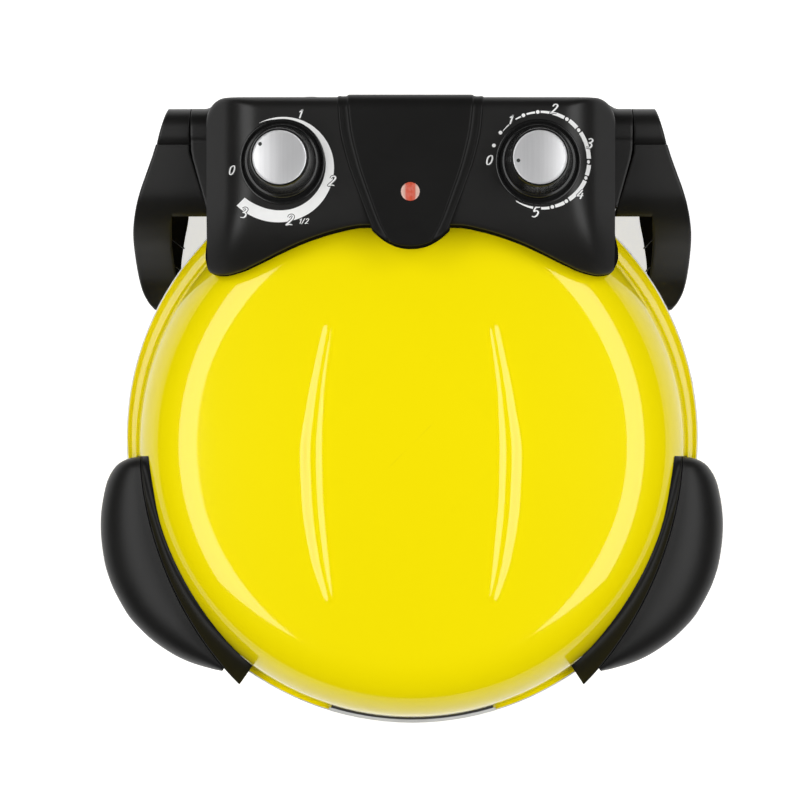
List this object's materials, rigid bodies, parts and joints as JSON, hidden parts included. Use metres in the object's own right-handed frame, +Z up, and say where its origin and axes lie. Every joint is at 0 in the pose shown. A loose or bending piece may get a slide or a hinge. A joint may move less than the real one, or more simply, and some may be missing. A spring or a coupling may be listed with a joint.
{
  "type": "electric pizza maker",
  "caption": "Countertop pizza oven with a round base, a baking stone, a domed lid on rear hinge legs, a control console with dials and side handles.",
  "frame": {"origin": "centre of the bounding box on the plane that the foot pads stand on", "axes": "+X to the user's right; +Y to the back, where the hinge is; +Z up"},
  "size_m": [0.3776, 0.3818, 0.1823],
  "materials": {
    "yellow_enamel": "glossy yellow enamel on pressed steel",
    "bright_steel": "bright pressed steel",
    "dark_steel": "dark zinc plated steel",
    "element_steel": "heat darkened sheathed element",
    "stone": "pale refractory stone, matt",
    "black_plastic": "black moulded plastic, fine grain",
    "black_rubber": "soft black rubber",
    "cap_metal": "brushed and lacquered",
    "lens_red": "clear red ribbed plastic",
    "lamp_glass": "small neon lamp",
    "pale_plastic": "heat resistant white plastic"
  },
  "bodies": {
    "base": {"base_shell": "yellow_enamel", "base_liner": "bright_steel", "bottom_cover": "dark_steel", "bottom_cover_screws": "bright_steel", "lower_element": "element_steel", "lower_element_clips": "bright_steel", "stone_posts": "bright_steel", "baking_stone": "stone", "left_front_foot": "black_plastic", "right_front_foot": "black_plastic", "front_foot_screws": "bright_steel", "foot_pads": "black_rubber", "left_hinge_leg": "black_plastic", "right_hinge_leg": "black_plastic", "hinge_leg_screws": "bright_steel", "left_hinge_pin": "bright_steel", "right_hinge_pin": "bright_steel", "pin_clips": "dark_steel"},
    "lid": {"lid_shell": "yellow_enamel", "lid_liner": "bright_steel", "upper_element": "element_steel", "upper_element_clips": "bright_steel", "console_housing": "black_plastic", "centre_shield": "black_plastic", "console_floor": "dark_steel", "floor_screws": "bright_steel", "lid_bracket": "bright_steel", "bracket_screws": "bright_steel", "knob_seats": "black_plastic", "thermostat_body": "pale_plastic", "timer_body": "bright_steel", "control_nuts": "bright_steel", "indicator_lens": "lens_red", "neon_lamp": "lamp_glass", "lamp_holder": "pale_plastic", "terminal_block": "pale_plastic", "cord_gland": "black_rubber", "left_handle": "black_plastic", "right_handle": "black_plastic", "left_handle_plate": "black_plastic", "right_handle_plate": "black_plastic", "handle_screws": "bright_steel"},
    "temp_dial": {"temp_knob": "black_plastic", "temp_knob_cap": "cap_metal", "temp_shaft": "bright_steel"},
    "timer_dial": {"timer_knob": "black_plastic", "timer_knob_cap": "cap_metal", "timer_shaft": "bright_steel"}
  },
  "joints": [
    {"name": "lid_hinge", "type": "hinge", "parent": "base", "child": "lid", "pos_m": [0, 0.1709, 0.095], "axis": [-1, 0, 0], "range_deg": [0, 95]},
    {"name": "temp_turn", "type": "hinge", "parent": "lid", "child": "temp_dial", "pos_m": [-0.074, 0.1454, 0.158], "axis": [0, 0, -1], "range_deg": [0, 270]},
    {"name": "timer_turn", "type": "hinge", "parent": "lid", "child": "timer_dial", "pos_m": [0.074, 0.1454, 0.158], "axis": [0, 0, -1], "range_deg": [0, 300]}
  ]
}
